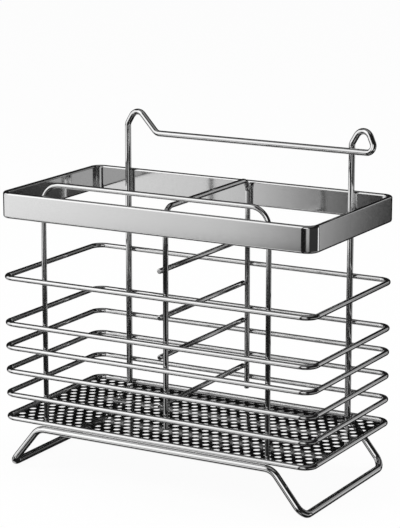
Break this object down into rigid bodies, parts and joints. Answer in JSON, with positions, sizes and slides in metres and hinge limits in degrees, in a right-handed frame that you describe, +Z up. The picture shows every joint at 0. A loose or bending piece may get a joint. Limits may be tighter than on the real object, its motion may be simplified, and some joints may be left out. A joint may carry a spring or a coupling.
{
  "type": "chopstick holder",
  "caption": "Stainless steel wire basket for chopsticks and cutlery: wire hoops, flat top band, divider, perforated drain plate, raised wire foot, and a back bar with hangers.",
  "frame": {"origin": "on the surface that the foot stands on, under the middle of the basket", "axes": "+X to the right along the front, +Y from the front to the back, +Z up"},
  "size_m": [0.2, 0.1056, 0.1995],
  "materials": {
    "round_wire": "polished",
    "flat_strip": "polished",
    "perforated_sheet": "polished"
  },
  "bodies": {
    "root": {"foot_frame": "round_wire", "drain_plate": "perforated_sheet", "tray_rim": "round_wire", "hoop_1": "round_wire", "hoop_2": "round_wire", "hoop_3": "round_wire", "hoop_4": "round_wire", "hoop_5": "round_wire", "top_band": "flat_strip", "front_frame": "round_wire", "back_frame": "round_wire", "divider_frame": "round_wire", "divider_rod_1": "round_wire", "divider_rod_2": "round_wire", "divider_rod_3": "round_wire", "divider_rod_4": "round_wire"}
  },
  "joints": []
}
